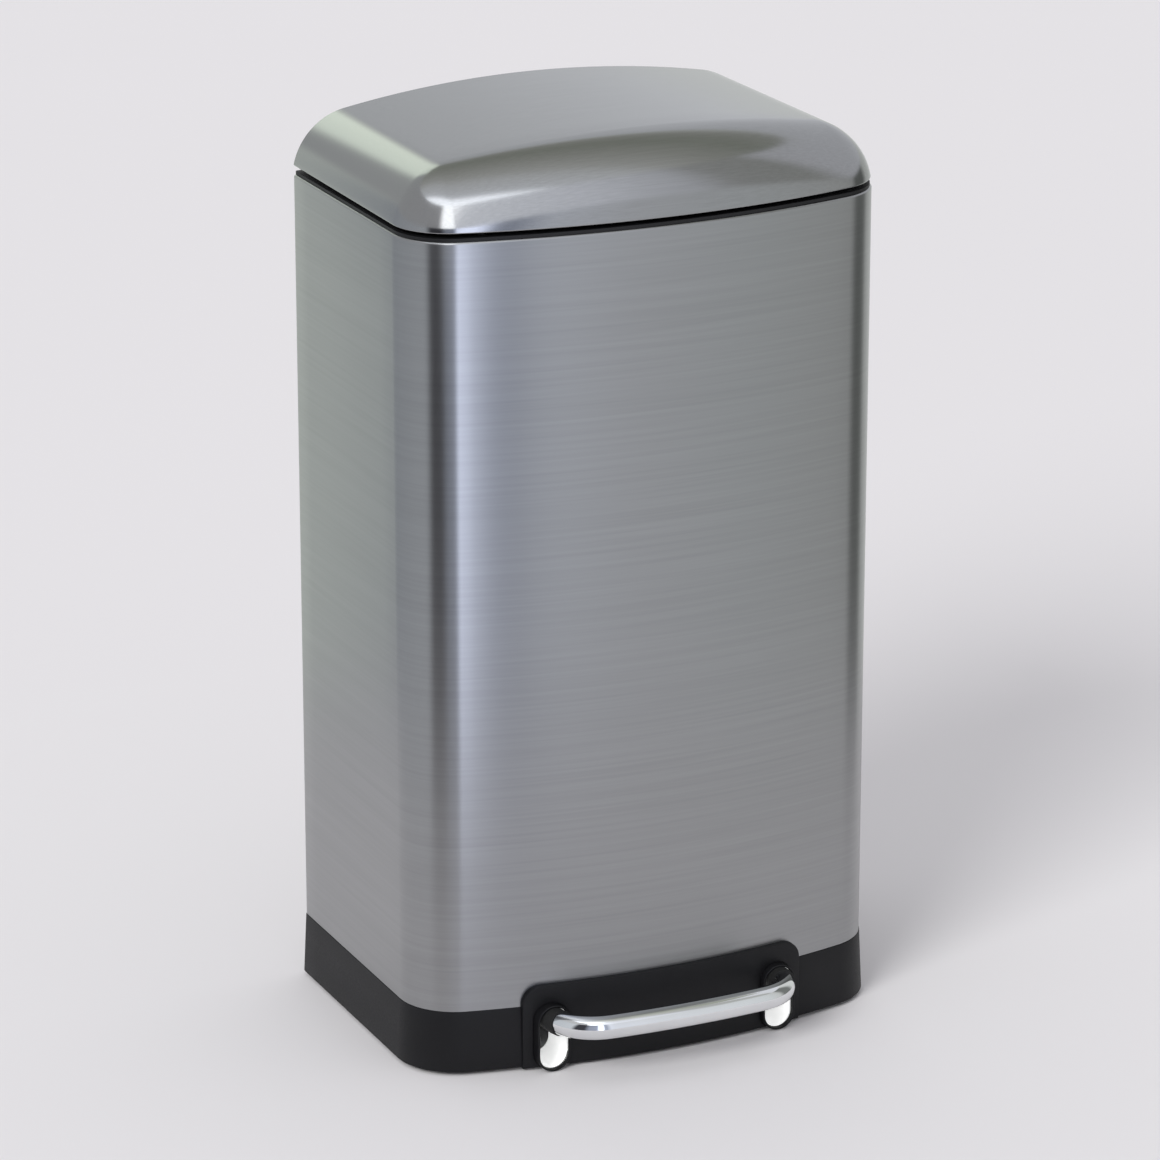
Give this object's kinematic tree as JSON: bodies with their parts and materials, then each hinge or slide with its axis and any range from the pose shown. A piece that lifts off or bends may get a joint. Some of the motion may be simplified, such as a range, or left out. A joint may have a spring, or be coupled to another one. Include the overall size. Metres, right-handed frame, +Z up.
{
  "type": "pedal trash can",
  "caption": "Free-standing step bin: bowed steel body, domed hinged lid, black base with a chrome foot bar, lever and push rod, and a lift-out inner bucket.",
  "frame": {"origin": "middle of the whole bin's footprint, on the floor", "axes": "+Z up, front with the foot bar towards -Y, +X to the right seen from the front"},
  "size_m": [0.3398, 0.2886, 0.6196],
  "materials": {
    "brushed_steel": "fine horizontal brushed grain, satin",
    "black_plastic": "moulded, fine matte texture",
    "dark_grey_plastic": "moulded, satin",
    "grey_plastic": "moulded, satin",
    "white_plastic": "natural moulded plastic, satin",
    "black_rubber": "matte",
    "chrome": "polished",
    "plated_steel": "zinc plated, satin"
  },
  "bodies": {
    "bin": {"body_shell": "brushed_steel", "base_plinth": "black_plastic", "base_deck": "black_plastic", "front_plate": "black_plastic", "slot_bezel_left": "black_plastic", "slot_bezel_right": "black_plastic", "hinge_housing": "black_plastic", "hinge_cover": "black_plastic", "rod_cover": "black_plastic", "top_collar": "dark_grey_plastic", "slot_liner_left": "white_plastic", "slot_liner_right": "white_plastic", "rod_guide_1": "white_plastic", "rod_guide_2": "white_plastic", "rod_guide_3": "white_plastic", "axle_bushes": "white_plastic", "lid_buffers": "black_rubber", "rubber_foot_1": "black_rubber", "rubber_foot_2": "black_rubber", "rubber_foot_3": "black_rubber", "rubber_foot_4": "black_rubber", "pedal_axle": "plated_steel", "axle_clips": "plated_steel", "hinge_pin": "plated_steel", "hinge_pin_clips": "plated_steel", "hinge_backing_plate": "plated_steel", "hinge_screws": "plated_steel", "hinge_nuts": "plated_steel", "rod_guide_screws": "plated_steel", "front_plate_screws": "plated_steel"},
    "pedal": {"pedal_bar": "chrome", "pedal_sleeve_left": "black_rubber", "pedal_sleeve_right": "black_rubber", "pedal_lever": "plated_steel", "pedal_rivets": "plated_steel", "lever_pin": "plated_steel", "lever_pin_clip": "plated_steel"},
    "rod": {"push_rod": "plated_steel", "push_rod_head": "plated_steel", "push_rod_foot": "plated_steel"},
    "lid": {"lid_shell": "brushed_steel", "lid_liner": "black_plastic", "lid_bracket": "plated_steel", "lid_screws": "plated_steel", "crank_pin": "plated_steel"},
    "bucket": {"inner_bucket": "grey_plastic"}
  },
  "joints": [
    {"name": "lid_hinge", "type": "hinge", "parent": "bin", "child": "lid", "pos_m": [0, 0.13134, 0.566], "axis": [-1, 0, 0], "range_deg": [0, 65]},
    {"name": "push_rod_slide", "type": "slide", "parent": "bin", "child": "rod", "axis": [0, 0, 1], "range_m": [0, 0.0215]},
    {"name": "pedal_pivot", "type": "hinge", "parent": "bin", "child": "pedal", "pos_m": [0, -0.00666, 0.0303], "axis": [1, 0, 0], "range_deg": [0, 10.27]},
    {"name": "bucket_lift", "type": "slide", "parent": "bin", "child": "bucket", "axis": [0, 0, 1], "range_m": [0, 0.013]}
  ],
  "couplings": [
    {"joint": "push_rod_slide", "follows": "lid_hinge", "m_per_rad": 0.018927},
    {"joint": "pedal_pivot", "follows": "lid_hinge", "ratio": 0.15797}
  ]
}
